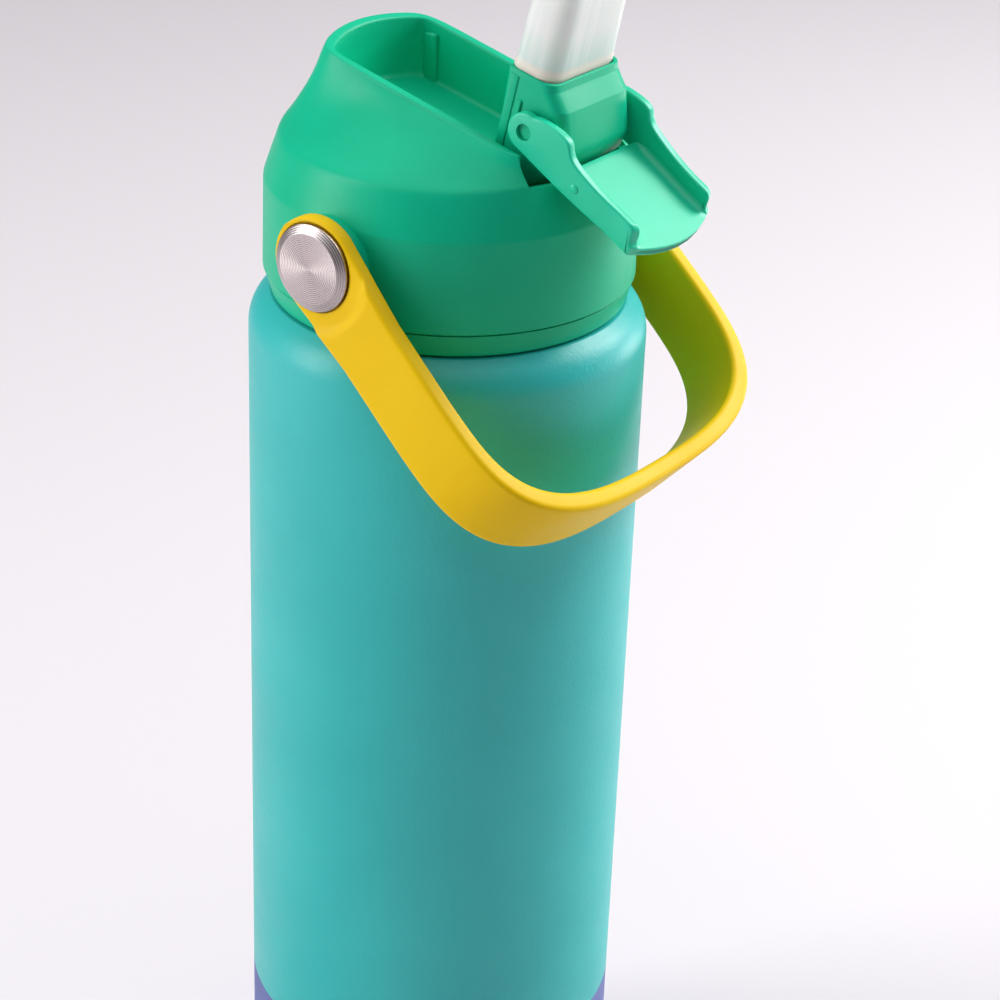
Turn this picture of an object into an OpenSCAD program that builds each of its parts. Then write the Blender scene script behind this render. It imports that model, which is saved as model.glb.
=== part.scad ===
/* [Body] */
// Outside diameter of the bottle body
body_d = 73; // [71:0.5:76]
// Height from the ground to the bottom edge of the lid
collar_z = 195; // [150:1:260]
// Height of the coloured boot round the base
boot_h = 46; // [30:1:80]
// Wall of the coated outer shell
shell_t = 0.8; // [0.6:0.1:1]
// Thickness of the boot on the side wall
boot_t = 1.6; // [1.2:0.1:2]
// Radius of the rounded shoulder
shoulder_r = 7.5; // [6:0.5:9]
// Outside radius of the inner flask
flask_r = 32.8; // [31:0.1:33]

/* [Mouth] */
// Outside radius of the neck
neck_r = 28.6; // [28:0.1:29]
// Inside radius of the drinking mouth
mouth_r = 26.6; // [25:0.1:26.8]
// Height of the neck above the lid's bottom edge
neck_h = 19; // [17:0.5:20]
// Rise of the thread in one turn
pitch = 4; // [3.6:0.1:4.5]
// Turns of the thread on the neck
thread_turns = 1.5; // [1:0.25:2]

/* [Lid] */
// Outside radius of the lid at its lower edge
lid_r = 33.85; // [33.6:0.05:34.2]
// Height of the separate collar ring under the lid wall
ring_h = 4.5; // [3.5:0.25:6]
// Height of the upright lid wall above the lid's bottom edge
wall_h = 21.3; // [20.9:0.1:21.7]
// Slope of the lid rim and of the folded spout, in degrees
rim_tilt = 12.8; // [10:0.2:14]
// Half width of the spout pocket
pocket_w = 13.05; // [13.05:0.05:13.3]
// Radius of the round rear end of the pocket
pocket_r = 23.9; // [23.8:0.05:24.2]
// Thickness of the pocket's walls
rim_t = 2; // [1.6:0.1:2.4]

/* [Spout] */
// How far the spout pivot lies in front of the bottle's axis
pivot_y = 19; // [18:0.5:20]
// Height of the spout pivot above the lid's bottom edge
pivot_h = 29; // [28:0.5:30]
// Length of the spout above its pivot
spout_len = 35.8; // [30:0.1:36]
// Half width of the spout carrier
carrier_w = 10.4; // [10:0.1:10.5]
// How far the open cover is swung from its closed place, in degrees
cover_open = 107.8; // [90:0.2:108]
// Length of the cover from its hinge to its tip
cover_len = 29.9; // [28:0.1:30]

/* [Handle] */
// Height of the handle pivots above the lid's bottom edge
handle_h = 15; // [14:0.5:16]
// How far the resting handle hangs below level, in degrees
droop = 42.8; // [35:0.2:43.5]
// Reach of the handle from its pivots to its outer face
reach = 62.1; // [61.5:0.1:70]
// Width of the strap
strap_w = 14.6; // [12:0.2:15]
// Thickness of the strap
strap_t = 3.4; // [3:0.1:3.6]
// Radius of the steel pivot caps
cap_r = 7.8; // [7:0.1:8]

/* [Hidden] */
$fn = 96;

// Colours
aqua = [0.33, 0.74, 0.74];
periwinkle = [0.45, 0.47, 0.70];
mint = [0.10, 0.76, 0.60];
yellow = [0.98, 0.86, 0.02];
milky = [0.93, 0.93, 0.88];
steel = [0.72, 0.72, 0.74];
brass = [0.78, 0.65, 0.33];
rubber_grey = [0.55, 0.57, 0.58];

// Body
body_r = body_d / 2;
boot_in = body_r - boot_t;
boot_floor = 1.6;
foot_r = 3.2;
ledge_z = collar_z - 0.4;
ledge_r = 32.6;
cone_a = 50;
lip_z = collar_z + neck_h;
lip_t = 0.8;
flask_t = 0.6;
flask_floor = 9;
neck_gap = 0.5;
plate_r = 30.5;
plate_z = 3.4;

// Lid
crease_z = collar_z + wall_h;
crease_r = lid_r - 0.2;
band_h = 8.3;
band_r = crease_r - 2.75;
wall_z = crease_z + band_h;
lid_in = 31.3;
liner_in = 30.2;
liner_out = lid_in - 0.05;
deck_z = lip_z + 1.6;
deck_t = 2;
rim_centre_y = -3.2;
rim_r = pocket_r + rim_t;
rim_w = pocket_w + rim_t;
rim_rise = 10.38;
crease = 0.15;
floor_drop = 4.3;
floor_t = 1.6;
hollow_r = 29.4;
hollow_top_r = 17;
pivot_z = collar_z + pivot_h;
pocket_low = pivot_z - floor_drop - 0.1;
pocket_front_r = 30;
notch_z = wall_z - 0.1;
notch_w = 14.4;
notch_y = 25.3;
rib_out = 0.7;
rib_y = 14.4;
rib_t = 2.4;
rib_low = pocket_low + 6;
rib_top = collar_z + 38;

// Spout and cover, measured along and in front of the spout's axis
knuckle_r = 4.2;
knuckle_w = 12.7;
hinge_u = 10.3;
hinge_n = 3.3;
carrier_top = 19;
corner_n = 7.5;
socket_u = 15;
mouth_back = -3.8;
mouth_front = 4.7;
mouth_w = 9.7;
mouth_corner = 2.4;
mouth_wall = 1.3;
pin_r = 1.4;
clear = 0.05;
ear_in = 10.95;
ear_out = 12.75;
tip_out = 12;
cover_under = 3.4;
cover_floor = 1.7;
cover_gap = 0.35;
floor_from = 9.4;
port_r = 2.4;
port_collar_r = 5.1;

// Handle
handle_z = collar_z + handle_h;
arm_in = 35.3;
arm_out = arm_in + strap_t;
bar_out = arm_out + 0.9;
corner_u = 32.8;
cap_gap = 0.15;
screw_r = 3;
bush_r = 4.2;
boss_r = 8;
insert_r = 4.5;
boss_x = arm_in - 0.4;
eye_r = 9.4;
sink_x = arm_out - 0.9;
handle_steps = 48;

// Points on an arc in the plane of a turned outline
function arc(cx, cy, r, from, to, n) =
    [for (i = [0 : n]) let (a = from + (to - from) * i / n) [cx + r * cos(a), cy + r * sin(a)]];

function reversed(list) = [for (i = [len(list) - 1 : -1 : 0]) list[i]];

// ---- Bottle -------------------------------------------------------------

// Outline of the outer shell, grown inwards by t: shoulder, ledge and neck
function shoulder_line(t) =
    let (r = shoulder_r - t,
         cx = body_r - shoulder_r,
         drop = (cx + shoulder_r * cos(cone_a) - ledge_r) * tan(90 - cone_a),
         cz = ledge_z - drop - shoulder_r * sin(cone_a))
    concat(arc(cx, cz, r, 0, cone_a, 12),
           [[ledge_r - t * 0.6, ledge_z - t], [neck_r - t, ledge_z - t], [neck_r - t, lip_z - lip_t]]);

module outer_shell()
    color(aqua)
    rotate_extrude()
    polygon(concat(
        [[plate_r, plate_z - shell_t]],
        arc(boot_in - 4, plate_z - shell_t + 4, 4, -90, 0, 8),
        [[boot_in, boot_h], [body_r, boot_h]],
        shoulder_line(0),
        reversed(shoulder_line(shell_t)),
        [[body_r - shell_t, boot_h + 2.5], [boot_in - shell_t, boot_h]],
        reversed(arc(boot_in - 4, plate_z - shell_t + 4, 4 - shell_t, -90, 0, 8)),
        [[plate_r, plate_z]]));

// Silicone boot with a rounded foot and a shallow ring recess under it
module base_boot()
    color(periwinkle)
    difference() {
        rotate_extrude()
            polygon(concat(
                [[0, 0]],
                arc(body_r - foot_r, foot_r, foot_r, -90, 0, 10),
                [[body_r, boot_h], [boot_in, boot_h]],
                reversed(arc(boot_in - 4, plate_z - shell_t + 4, 4, -90, 0, 8)),
                [[plate_r, boot_floor], [0, boot_floor]]));
        translate([0, 0, -1])
            difference() {
                cylinder(r = 27, h = 1.6);
                translate([0, 0, -1])
                    cylinder(r = 13, h = 4);
            }
    }

// Disc welded into the bottom of the outer shell, dished in for the vacuum seal
module bottom_plate()
    color(steel)
    rotate_extrude()
    polygon([[0, plate_z + 0.8], [9, plate_z + 0.8], [12, plate_z - shell_t], [plate_r, plate_z - shell_t],
             [plate_r, plate_z], [12.5, plate_z], [9.5, plate_z + 1.6], [0, plate_z + 1.6]]);

// One wall of the flask, at distance t inside its outer face
function flask_line(t) =
    concat([[0, flask_floor + t]],
           arc(flask_r - 9, flask_floor + 9, 9 - t, -90, 0, 10),
           arc(flask_r - 8, ledge_z - 12, 8 - t, 0, 45, 8),
           [[neck_r - shell_t - neck_gap - t, ledge_z - 4], [neck_r - shell_t - neck_gap - t, lip_z - lip_t]]);

module inner_flask()
    color(steel)
    rotate_extrude()
    polygon(concat(
        flask_line(0),
        [[neck_r, lip_z - lip_t], [neck_r, lip_z - 0.3], [neck_r - 0.3, lip_z], [mouth_r + 0.3, lip_z],
         [mouth_r, lip_z - 0.3]],
        reversed(flask_line(flask_t + 0.1))));

// Getter capsule in the vacuum between the two walls
module vacuum_getter()
    color(steel)
    translate([16, 0, plate_z + 0.05])
    cylinder(r = 3, h = 2.4);

// Ridge of one screw thread: root radius, crest radius and the height of its start
module helix(root, crest, start, turns) {
    steps = ceil(turns * 32);
    half_root = 0.75;
    half_crest = 0.35;
    sides = [[root, -half_root], [crest, -half_crest], [crest, half_crest], [root, half_root]];
    points = [for (i = [0 : steps]) let (a = 360 * turns * i / steps, z = start + pitch * a / 360,
              grow = min(1, 0.15 + i / 4, 0.15 + (steps - i) / 4))
              for (s = sides) let (r = root + (s[0] - root) * grow) [r * cos(a), r * sin(a), z + s[1]]];
    // the order of the corners turns over with the side the ridge stands on
    flip = crest > root;
    skin = [for (i = [0 : steps - 1]) for (k = [0 : 3]) let (a = 4 * i + k, b = 4 * i + (k + 1) % 4)
            flip ? [a, a + 4, b + 4, b] : [a, b, b + 4, a + 4]];
    first = flip ? [0, 1, 2, 3] : [3, 2, 1, 0];
    last = [for (k = flip ? [3, 2, 1, 0] : [0, 1, 2, 3]) 4 * steps + k];
    polyhedron(points, concat([first], skin, [last]), convexity = 6);
}

module neck_thread()
    color(aqua)
    helix(neck_r - 0.15, neck_r + 1.2, collar_z + 5, thread_turns);

// ---- Lid ----------------------------------------------------------------

module lid_gasket()
    color(milky)
    rotate_extrude()
    translate([0, lip_z + 0.1])
    polygon([[mouth_r - 0.4, 0], [liner_in - 0.3, 0], [liner_in - 0.3, 1.4], [mouth_r - 0.4, 1.4]]);

// Threaded inner cap: visible ring, skirt and the deck that seals the mouth
module lid_liner()
    color(mint)
    difference() {
        rotate_extrude()
            polygon([[liner_in, collar_z], [lid_r - 1.75, collar_z], [lid_r - 1.45, collar_z + 0.3],
                     [lid_r - 0.35, collar_z + ring_h - 0.25], [liner_out, collar_z + ring_h - 0.25],
                     [liner_out, deck_z + deck_t], [0, deck_z + deck_t], [0, deck_z], [liner_in, deck_z]]);
        translate([0, -pivot_y, deck_z - 1])
            cylinder(r = 4.6, h = 4);
        translate([0, 12, deck_z - 1])
            cylinder(r = 1.6, h = 4);
    }

module liner_thread()
    color(mint)
    helix(liner_in + 0.15, liner_in - 1.2, collar_z + 5 - pitch / 2, 1.25);

// Distance from the rim's centre to its outer edge, at an angle
function rim_reach(a) = pow(pow(abs(cos(a)) / rim_w, 14) + pow(1 / rim_r, 14), -1 / 14);

function rim_height(y) = wall_z + rim_rise + y * tan(rim_tilt);

// A closed skin between the lid's band and the rim: levels are the fractions of the way across and up
module dome() {
    turn = 96;
    levels = [[0, 0], [0.16, 0.115], [0.31, 0.235], [0.56, 0.46], [0.77, 0.69], [0.93, 0.92], [1, 1]];
    count = len(levels);
    points = [for (l = levels) for (i = [0 : turn - 1])
              let (a = 360 * i / turn, far = band_r - crease, near = rim_reach(a),
                   y_near = rim_centre_y + near * sin(a),
                   x = far * cos(a) * (1 - l[0]) + near * cos(a) * l[0],
                   y = far * sin(a) * (1 - l[0]) + y_near * l[0],
                   z = wall_z + (rim_height(y_near) - wall_z) * l[1])
              [x, y, z]];
    skin = [for (k = [0 : count - 2]) for (i = [0 : turn - 1]) let (j = (i + 1) % turn)
            for (f = [[turn * k + i, turn * (k + 1) + i, turn * (k + 1) + j],
                      [turn * k + i, turn * (k + 1) + j, turn * k + j]]) f];
    polyhedron(points, concat([[for (i = [0 : turn - 1]) i]], skin,
               [[for (i = [turn - 1 : -1 : 0]) turn * (count - 1) + i]]), convexity = 6);
}

// Everything above the sloped plane that lies at height n over the spout pivot
module above_slope(n)
    translate([0, -pivot_y, pivot_z])
    rotate([rim_tilt, 0, 0])
    translate([-50, -60, n])
    cube([100, 120, 60]);

// Upright column round the pocket, w wide to each side, with a rear end of radius r
module pocket_column(w, r, low)
    intersection() {
        translate([0, rim_centre_y, low])
            cylinder(r = r, h = 60);
        translate([-w, -50, low])
            cube([2 * w, 100, 60]);
    }

// The front of the pocket, in front of the spout pivot and down to its lowest floor
module pocket_front(w, r, low)
    intersection() {
        translate([0, 0, low])
            cylinder(r = r, h = 60);
        translate([-w, -50, low])
            cube([2 * w, 50 - pivot_y, 60]);
    }

module lid_outside() {
    translate([0, 0, collar_z + ring_h])
        cylinder(r1 = lid_r, r2 = crease_r, h = wall_h - ring_h);
    translate([0, 0, crease_z])
        cylinder(r1 = crease_r, r2 = band_r, h = band_h);
    dome();
}

module lid_inside()
    translate([0, 0, collar_z])
    cylinder(r = lid_in, h = deck_z + deck_t - collar_z + 0.05);

// Room under the dome, round the pocket's walls
module lid_hollow() {
    low = deck_z + deck_t;
    difference() {
        union() {
            translate([0, 0, low])
                cylinder(r = hollow_r, h = wall_z - low - floor_t);
            translate([0, 0, wall_z - floor_t - 0.05])
                cylinder(r1 = hollow_r - 2, r2 = hollow_top_r, h = 7.3);
        }
        intersection() {
            pocket_column(rim_w, rim_r, low - 2);
            above_slope(-floor_drop - floor_t);
        }
        pocket_front(rim_w, lid_r, low + 0.05);
    }
}

module pocket() {
    intersection() {
        pocket_column(pocket_w, pocket_r, pocket_low);
        above_slope(-floor_drop);
    }
    pocket_front(pocket_w, pocket_front_r, pocket_low);
    // wider way out through the front wall, and the slope that the open cover hangs over
    translate([-notch_w, -50, notch_z])
        cube([2 * notch_w, 50 - notch_y, 60]);
    translate([0, -pivot_y, pivot_z])
        rotate([rim_tilt, 0, 0])
        translate([0, -hinge_n, hinge_u])
        rotate([cover_open, 0, 0])
        translate([-notch_w, cover_under - 8, floor_from - 4])
        cube([2 * notch_w, 8 + cover_gap, 30]);
}

// Short ribs on the pocket's side walls, near its rear corners
module pocket_ribs()
    for (side = [0, 1])
        mirror([side, 0, 0])
            translate([pocket_w - rib_out, rib_y, rib_low])
            cube([rib_out + 0.5, rib_t, rib_top - rib_low]);

module lid_shell()
    color(mint)
    difference() {
        union() {
            difference() {
                lid_outside();
                lid_inside();
                lid_hollow();
                pocket();
            }
            pocket_ribs();
            for (side = [-1, 1])
                translate([0, 0, handle_z])
                    rotate([0, side * 90, 0])
                    translate([0, 0, lid_in + 0.4])
                    cylinder(r = boss_r, h = boss_x - lid_in - 0.4);
        }
        for (side = [-1, 1]) {
            translate([0, 0, handle_z])
                rotate([0, side * 90, 0])
                translate([0, 0, lid_in + 0.2])
                cylinder(r = insert_r, h = 10);
            translate([0, -pivot_y, pivot_z])
                rotate([0, side * 90, 0])
                cylinder(r = pin_r, h = rim_w - 0.3);
        }
        translate([0, -pivot_y, deck_z])
            cylinder(r = port_collar_r + 0.1, h = 10);
    }

// Nipple through the deck that the straw is pushed on
module straw_socket()
    color(milky)
    translate([0, -pivot_y, 0])
    difference() {
        union() {
            translate([0, 0, deck_z - 13])
                cylinder(r = 3.4, h = 13);
            translate([0, 0, deck_z])
                cylinder(r = 4.6, h = deck_t);
            translate([0, 0, deck_z + deck_t])
                cylinder(r = port_collar_r, h = 0.6);
        }
        translate([0, 0, deck_z - 20])
            cylinder(r = port_r, h = 40);
    }

module straw()
    color(milky)
    translate([0, -pivot_y, flask_floor + 5])
    difference() {
        cylinder(r = 4.5, h = deck_z - 0.5 - flask_floor - 5);
        translate([0, 0, -1])
            cylinder(r = 3.4, h = deck_z);
        // notch that keeps the foot of the straw open
        translate([-5, -1.5, -1])
            cube([10, 3, 4]);
    }

module vent_valve()
    color(milky)
    translate([0, 12, 0]) {
        translate([0, 0, deck_z + deck_t])
            cylinder(r = 3.6, h = 0.6);
        translate([0, 0, deck_z - 0.6])
            cylinder(r = 1.6, h = deck_t + 0.6);
        translate([0, 0, deck_z - 1.4])
            cylinder(r = 2.2, h = 0.8);
    }

// Soft collar round the port, hollowed to the spout's round knuckle
module spout_seal()
    color(rubber_grey)
    difference() {
        translate([0, -pivot_y, deck_z + deck_t + 0.6])
            cylinder(r = port_collar_r, h = pocket_low - deck_z - deck_t + 0.6);
        translate([0, -pivot_y, deck_z])
            cylinder(r = port_r, h = 12);
        translate([-20, -pivot_y, pivot_z])
            rotate([0, 90, 0])
            cylinder(r = knuckle_r + 0.1, h = 40);
    }

// ---- Spout --------------------------------------------------------------

// The spout's own axes: Z runs up the spout and -Y towards its front
module at_spout()
    translate([0, -pivot_y, pivot_z])
    rotate([rim_tilt, 0, 0])
    children();

// Outline given as [distance in front, distance up], made w to each side
module across(points, w)
    rotate([90, 0, -90])
    translate([0, 0, -w])
    linear_extrude(2 * w)
    polygon(points);

// Rounded section of the mouthpiece, grown by g
module mouth_section(g) {
    w = mouth_w + g;
    back = mouth_back - g;
    front = mouth_front + g;
    c = mouth_corner + g;
    for (x = [c - w, w - c])
        for (y = [-front + c, -back - c])
            translate([x, y])
                circle(r = c);
    translate([c - w, -front])
        square([2 * (w - c), front - back]);
    translate([-w, -front + c])
        square([2 * w, front - back - 2 * c]);
}

module spout_pin(side)
    color(steel)
    translate([0, -pivot_y, pivot_z])
    rotate([0, side * 90, 0])
    translate([0, 0, 9.2])
    cylinder(r = pin_r, h = rim_w - 0.4 - 9.2);

module spout_pin_left() spout_pin(-1);
module spout_pin_right() spout_pin(1);

module spout_carrier()
    color(mint)
    at_spout()
    difference() {
        union() {
            rotate([0, 90, 0])
                translate([0, 0, -knuckle_w])
                cylinder(r = knuckle_r, h = 2 * knuckle_w);
            across([[-3.3, -2], [-3.3, 8.4], [-4.1, carrier_top], [5.5, carrier_top], [5.9, 17.75],
                    [8.57, 15.07], [11.3, 8.4], [10.6, 5.2], [8, 1.4], [3.4, -2.2]], carrier_w);
        }
        for (side = [0, 1])
            mirror([side, 0, 0])
                translate([0, 0, -knuckle_r])
                linear_extrude(carrier_top + knuckle_r + 1)
                polygon([[carrier_w, -corner_n], [carrier_w + 1, -corner_n], [carrier_w + 1, -12],
                         [carrier_w - 2.9, -12], [carrier_w - 2.9, -11.4]]);
        // flow passage, then the socket that holds the mouthpiece
        translate([0, 0, -knuckle_r - 1])
            cylinder(r = port_r, h = socket_u + knuckle_r);
        translate([0, 0, socket_u])
            linear_extrude(10)
            mouth_section(0);
        for (side = [-1, 1]) {
            rotate([0, side * 90, 0])
                translate([0, 0, 9])
                cylinder(r = pin_r + clear, h = 10);
            translate([0, -hinge_n, hinge_u])
                rotate([0, side * 90, 0])
                translate([0, 0, 7.5])
                cylinder(r = pin_r, h = 10);
        }
    }

module mouthpiece()
    color(milky)
    at_spout()
    difference() {
        translate([0, 0, socket_u])
            linear_extrude(spout_len - socket_u)
            mouth_section(0);
        translate([0, 0, socket_u - 1])
            linear_extrude(spout_len - socket_u - 0.6)
            mouth_section(-mouth_wall);
        // drinking slit
        translate([-5, -1.6, spout_len - 3])
            cube([10, 2.2, 6]);
    }

module cover_pin(side)
    color(mint)
    at_spout()
    translate([0, -hinge_n, hinge_u])
    rotate([0, side * 90, 0])
    translate([0, 0, 7.5])
    cylinder(r = pin_r, h = ear_out - 0.7 - 7.5);

module cover_pin_left() cover_pin(-1);
module cover_pin_right() cover_pin(1);

// Side outline of the cover as [distance in front, distance from the hinge]
function cover_side() =
    concat(arc(0, 0, cover_under, 0, -180, 12),
           [[-4.2, 1], [-5.1, 5], [-5.2, 7], [-4.8, 8.1], [-3.4, 9.2], [-2.6, 11], [-1.8, 16], [-1.75, 25.6],
            [-1.2, 26.3], [-0.2, 26.6], [0.6, 27.2], [1.2, 28.4], [1.7, cover_len], [cover_under, cover_len]]);

// Plan of the cover: straight at the hinge, round at the tip
module cover_plan(from, inset)
    intersection() {
        translate([0, cover_len - rim_r + 0.1])
            circle(r = rim_r - 0.1 - inset);
        polygon([[-ear_out + inset, from], [-ear_out + inset, 12], [-tip_out + inset, 23],
                 [-tip_out + inset, 40], [tip_out - inset, 40], [tip_out - inset, 23],
                 [ear_out - inset, 12], [ear_out - inset, from]]);
    }

module spout_cover()
    color(mint)
    at_spout()
    translate([0, -hinge_n, hinge_u])
    rotate([cover_open, 0, 0])
    difference() {
        union() {
            intersection() {
                difference() {
                    across(cover_side(), ear_out);
                    across([[-9, -9], [-9, 45], [cover_under + 1, 45], [cover_under + 1, -9]], ear_in);
                }
                rotate([90, 0, 0])
                    translate([0, 0, -20])
                    linear_extrude(40)
                    cover_plan(-5, 0);
            }
            translate([0, -cover_under + cover_floor, 0])
                rotate([90, 0, 0])
                linear_extrude(cover_floor)
                cover_plan(floor_from, 0);
            // inner wall of the rails where the cover narrows
            intersection() {
                across(cover_side(), ear_out);
                rotate([90, 0, 0])
                    translate([0, 0, -20])
                    linear_extrude(40)
                    difference() {
                        cover_plan(floor_from, 0);
                        intersection() {
                            cover_plan(0, 1.8);
                            translate([-20, 0])
                                square([40, 40]);
                        }
                    }
            }
        }
        translate([-20, 0, 0])
            rotate([0, 90, 0])
            cylinder(r = pin_r + clear, h = 40);
    }

// ---- Handle -------------------------------------------------------------

// The handle's own axes: -Y is its reach and Z the width of the strap
module at_handle()
    translate([0, 0, handle_z])
    rotate([droop, 0, 0])
    children();

function power(v, p) = sign(v) * pow(abs(v), p);

// The bow from one arm round to the other: in is the distance inside the outer face
function bow(in) =
    [for (i = [0 : handle_steps]) let (a = 180 * i / handle_steps)
     [(bar_out - in) * power(cos(a), 2 / 2.88), -corner_u - (reach - in - corner_u) * power(sin(a), 2 / 3.4)]];

module handle()
    color(yellow)
    at_handle()
    difference() {
        union() {
            translate([0, 0, -strap_w / 2])
                linear_extrude(strap_w)
                polygon(concat([[arm_out, 0]], bow(0), [[-arm_out, 0], [-arm_in, 0]],
                               reversed(bow(strap_t)), [[arm_in, 0]]));
            for (side = [-1, 1])
                rotate([0, side * 90, 0])
                    translate([0, 0, arm_in]) {
                        cylinder(r = eye_r, h = strap_t);
                        linear_extrude(strap_t)
                            polygon([[eye_r, 0], [strap_w / 2, -17], [-strap_w / 2, -17], [-eye_r, 0]]);
                    }
        }
        for (side = [-1, 1])
            rotate([0, side * 90, 0]) {
                cylinder(r = bush_r, h = 60);
                translate([0, 0, sink_x])
                    cylinder(r = cap_r + 0.3, h = 10);
            }
    }

// A round piece on the handle's pivot axis, from x1 to x2
module on_pivot(side, x1, x2, outer, inner = 0)
    translate([0, 0, handle_z])
    rotate([0, side * 90, 0])
    translate([0, 0, x1])
    difference() {
        cylinder(r = outer, h = x2 - x1);
        if (inner > 0)
            translate([0, 0, -1])
                cylinder(r = inner, h = x2 - x1 + 2);
    }

module bush(side)
    color(rubber_grey)
    on_pivot(side, arm_in, sink_x, bush_r, screw_r + clear);

module bush_left() bush(-1);
module bush_right() bush(1);

module pivot_insert(side)
    color(brass)
    on_pivot(side, lid_in + 0.2, boss_x, insert_r, 2);

module pivot_insert_left() pivot_insert(-1);
module pivot_insert_right() pivot_insert(1);

module pivot_washer(side)
    color(rubber_grey)
    on_pivot(side, boss_x, arm_in - cap_gap, boss_r - 1, screw_r);

module pivot_washer_left() pivot_washer(-1);
module pivot_washer_right() pivot_washer(1);

// Shoulder screw: threaded end in the insert, smooth shank in the bush, flat head
module pivot_screw(side)
    color(steel) {
        on_pivot(side, lid_in + 0.4, boss_x, 2);
        on_pivot(side, boss_x, sink_x + 0.1, screw_r);
        on_pivot(side, sink_x + 0.1, sink_x + 0.7, cap_r - 1.3);
    }

module pivot_screw_left() pivot_screw(-1);
module pivot_screw_right() pivot_screw(1);

// Bevelled cap that snaps over the screw's head
module pivot_cap(side)
    color(steel)
    translate([0, 0, handle_z])
    rotate([0, side * 90, 0])
    rotate_extrude()
    translate([0, sink_x])
    polygon([[0, 0.7], [cap_r - 1.2, 0.7], [cap_r - 1.2, cap_gap], [cap_r, cap_gap], [cap_r, 0.95],
             [cap_r - 0.1, 1.05], [cap_r - 1.5, 1.75], [0, 1.75]]);

module pivot_cap_left() pivot_cap(-1);
module pivot_cap_right() pivot_cap(1);

base_boot();
outer_shell();
bottom_plate();
inner_flask();
vacuum_getter();
neck_thread();
lid_gasket();
lid_liner();
liner_thread();
lid_shell();
straw_socket();
straw();
vent_valve();
spout_seal();
spout_pin_left();
spout_pin_right();
spout_carrier();
mouthpiece();
cover_pin_left();
cover_pin_right();
spout_cover();
pivot_insert_left();
pivot_insert_right();
pivot_washer_left();
pivot_washer_right();
pivot_screw_left();
pivot_screw_right();
pivot_cap_left();
pivot_cap_right();
bush_left();
bush_right();
handle();
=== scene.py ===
from math import asin, atan2, cos, pi, radians, sin, sqrt, tan

import bmesh
import bpy
from mathutils import Matrix, Vector


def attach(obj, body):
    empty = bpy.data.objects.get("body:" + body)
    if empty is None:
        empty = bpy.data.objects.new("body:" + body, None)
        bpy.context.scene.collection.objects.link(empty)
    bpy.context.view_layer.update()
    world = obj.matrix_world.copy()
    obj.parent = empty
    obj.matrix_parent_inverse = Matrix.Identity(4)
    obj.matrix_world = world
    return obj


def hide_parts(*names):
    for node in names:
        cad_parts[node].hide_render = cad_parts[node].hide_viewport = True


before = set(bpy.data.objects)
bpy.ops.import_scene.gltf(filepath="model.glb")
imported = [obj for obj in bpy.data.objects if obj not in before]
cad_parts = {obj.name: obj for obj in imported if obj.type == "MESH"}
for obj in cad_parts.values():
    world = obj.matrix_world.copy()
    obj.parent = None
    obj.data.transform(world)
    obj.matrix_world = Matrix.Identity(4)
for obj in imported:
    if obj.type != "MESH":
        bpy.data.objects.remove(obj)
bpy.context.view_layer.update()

# ---- Table, light and camera ------------------------------------------------
# A pale matt table top in a pale room, lit by a tall softbox on each side, a small lamp low on the
# right and one wide panel overhead. The camera is a long lens that looks down from the left front.

def paint(red, green, blue):
    """A colour as a paint chart gives it, 0 to 255, made linear for the shader."""
    shares = [part / 255 for part in (red, green, blue)]
    return tuple(((s + 0.055) / 1.055) ** 2.4 if s > 0.04 else s / 12.92 for s in shares) + (1,)


scene = bpy.context.scene
scene.view_settings.view_transform = "Standard"

world = bpy.data.worlds.new("room")
world.use_nodes = True
world.node_tree.nodes["Background"].inputs["Color"].default_value = paint(240, 238, 244)
world.node_tree.nodes["Background"].inputs["Strength"].default_value = 0.2
scene.world = world

table_bm = bmesh.new()
bmesh.ops.create_grid(table_bm, x_segments=1, y_segments=1, size=6)
table_mesh = bpy.data.meshes.new("table_top")
table_bm.to_mesh(table_mesh)
table_bm.free()
table_paint = bpy.data.materials.new("table_paint")
table_paint.use_nodes = True
table_shader = table_paint.node_tree.nodes["Principled BSDF"]
table_shader.inputs["Base Color"].default_value = paint(213, 208, 212)
table_shader.inputs["Roughness"].default_value = 0.75
table_shader.inputs["Specular IOR Level"].default_value = 0.2
table_mesh.materials.append(table_paint)
table_top = bpy.data.objects.new("table_top", table_mesh)
scene.collection.objects.link(table_top)


def softbox(name, place, target, width, height, watts, spread=180):
    """Hangs a rectangular lamp that faces the target."""
    lamp = bpy.data.lights.new(name, "AREA")
    lamp.shape = "RECTANGLE"
    lamp.size = width
    lamp.size_y = height
    lamp.energy = watts
    lamp.spread = radians(spread)
    holder = bpy.data.objects.new(name, lamp)
    holder.location = place
    holder.rotation_mode = "QUATERNION"
    holder.rotation_quaternion = (Vector(target) - Vector(place)).to_track_quat("-Z", "Y")
    scene.collection.objects.link(holder)


softbox("softbox_left", (-0.75, 0.70, 0.55), (0, 0, 0.15), 0.4, 1.0, 9)
softbox("softbox_right", (0.80, -0.42, 0.80), (0, 0, 0.2), 0.45, 0.7, 13)
softbox("softbox_rim", (0.80, -0.30, 0.08), (0, 0, 0.08), 0.3, 0.3, 0.3, spread=60)
softbox("overhead_panel", (0, 0, 2.2), (0, 0, 0), 3.4, 3.4, 36)

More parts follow.
